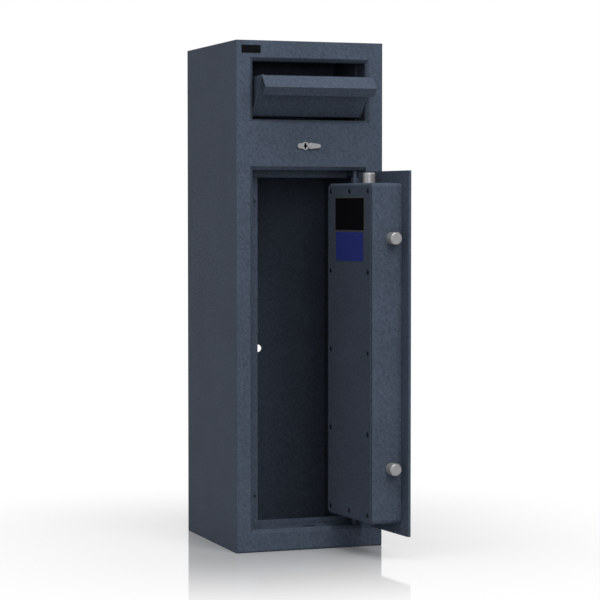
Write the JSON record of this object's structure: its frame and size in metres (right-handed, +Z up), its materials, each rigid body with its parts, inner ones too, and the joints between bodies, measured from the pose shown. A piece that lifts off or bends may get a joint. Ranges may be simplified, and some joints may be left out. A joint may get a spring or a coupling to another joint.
{
  "type": "drop safe with deposit drawer",
  "caption": "Tall free-standing drop safe: tilting deposit drawer with folded grip above, hinged bolted door with inner cover below, key locks, anchor holes.",
  "frame": {"origin": "middle of the body's base, on the floor", "axes": "+Z up, the front with door and drawer faces -Y, the door's hinge is on the +X side"},
  "size_m": [0.3599, 0.6016, 1.15],
  "materials": {
    "coat": "fine textured anthracite powder coat",
    "dark_coat": "fine textured anthracite powder coat, inner faces",
    "chrome": "polished",
    "steel": "zinc plated",
    "black_plate": "smooth",
    "blue_film": "smooth film"
  },
  "bodies": {
    "cabinet": {"outer_shell": "coat", "top_panel": "coat", "base_panel": "dark_coat", "rear_panel": "coat", "deposit_frame": "dark_coat", "door_frame": "coat", "rebate_ring": "coat", "chute_wall_left": "dark_coat", "chute_wall_right": "dark_coat", "baffle_plate": "dark_coat", "lock_space_cover": "dark_coat", "deposit_lock_case": "steel", "deposit_key_tube": "chrome", "deposit_escutcheon": "chrome", "front_badge": "black_plate", "drawer_pin_left": "steel", "drawer_pin_right": "steel", "hinge_pin_lower": "coat", "hinge_pin_upper": "coat"},
    "drawer": {"drawer_panel": "coat", "drawer_cheek_left": "coat", "drawer_cheek_right": "coat", "drawer_tray": "coat", "drawer_catch": "steel"},
    "deposit_bolt": {"deposit_lock_bolt": "steel"},
    "deposit_cover": {"deposit_key_cover": "chrome"},
    "door": {"door_plate": "coat", "door_box": "coat", "door_inner_cover": "dark_coat", "data_plate": "black_plate", "blue_label": "blue_film", "hinge_block_lower": "coat", "hinge_block_upper": "coat", "side_guide_lower": "steel", "side_guide_upper": "steel", "top_guide": "steel", "bottom_guide": "steel", "handle_rose": "chrome", "door_lock_case": "steel", "door_key_tube": "chrome", "door_escutcheon": "chrome"},
    "handle": {"door_handle": "chrome", "handle_spindle": "steel", "bolt_cam": "steel"},
    "side_bolts": {"side_bolt_lower": "chrome", "side_bolt_upper": "chrome", "bolt_bar": "steel"},
    "top_bolt_set": {"top_bolt": "chrome", "top_rod": "steel"},
    "bottom_bolt_set": {"bottom_bolt": "chrome", "bottom_rod": "steel"},
    "door_bolt": {"door_lock_bolt": "steel"},
    "door_cover": {"door_key_cover": "chrome"}
  },
  "joints": [
    {"name": "drawer_tilt", "type": "hinge", "parent": "cabinet", "child": "drawer", "pos_m": [0, -0.1605, 0.996], "axis": [1, 0, 0], "range_deg": [-42.6, 0]},
    {"name": "deposit_bolt_slide", "type": "slide", "parent": "cabinet", "child": "deposit_bolt", "axis": [0, 0, 1], "range_m": [0, 0.012]},
    {"name": "deposit_cover_turn", "type": "hinge", "parent": "cabinet", "child": "deposit_cover", "pos_m": [-0.001, -0.19, 0.9154], "axis": [0, -1, 0], "range_deg": [0, 180]},
    {"name": "door_hinge", "type": "hinge", "parent": "cabinet", "child": "door", "pos_m": [0.114, -0.1705, 0.45575], "axis": [0, 0, 1], "range_deg": [-95.6, 0]},
    {"name": "handle_turn", "type": "hinge", "parent": "door", "child": "handle", "pos_m": [0.13715, -0.27343, 0.45575], "axis": [0.9952, 0.0976, 0], "range_deg": [0, 90]},
    {"name": "side_bolts_slide", "type": "slide", "parent": "door", "child": "side_bolts", "axis": [0.0976, -0.9952, 0], "range_m": [0, 0.022]},
    {"name": "top_bolt_slide", "type": "slide", "parent": "door", "child": "top_bolt_set", "axis": [0, 0, 1], "range_m": [0, 0.022]},
    {"name": "bottom_bolt_slide", "type": "slide", "parent": "door", "child": "bottom_bolt_set", "axis": [0, 0, -1], "range_m": [0, 0.022]},
    {"name": "door_bolt_slide", "type": "slide", "parent": "door", "child": "door_bolt", "axis": [0, 0, -1], "range_m": [0, 0.014]},
    {"name": "door_cover_turn", "type": "hinge", "parent": "door", "child": "door_cover", "pos_m": [0.13896, -0.29184, 0.54775], "axis": [0.9952, 0.0976, 0], "range_deg": [0, 180]}
  ],
  "couplings": [
    {"joint": "side_bolts_slide", "follows": "handle_turn", "m_per_rad": 0.014006},
    {"joint": "top_bolt_slide", "follows": "handle_turn", "m_per_rad": 0.014006},
    {"joint": "bottom_bolt_slide", "follows": "handle_turn", "m_per_rad": 0.014006}
  ]
}
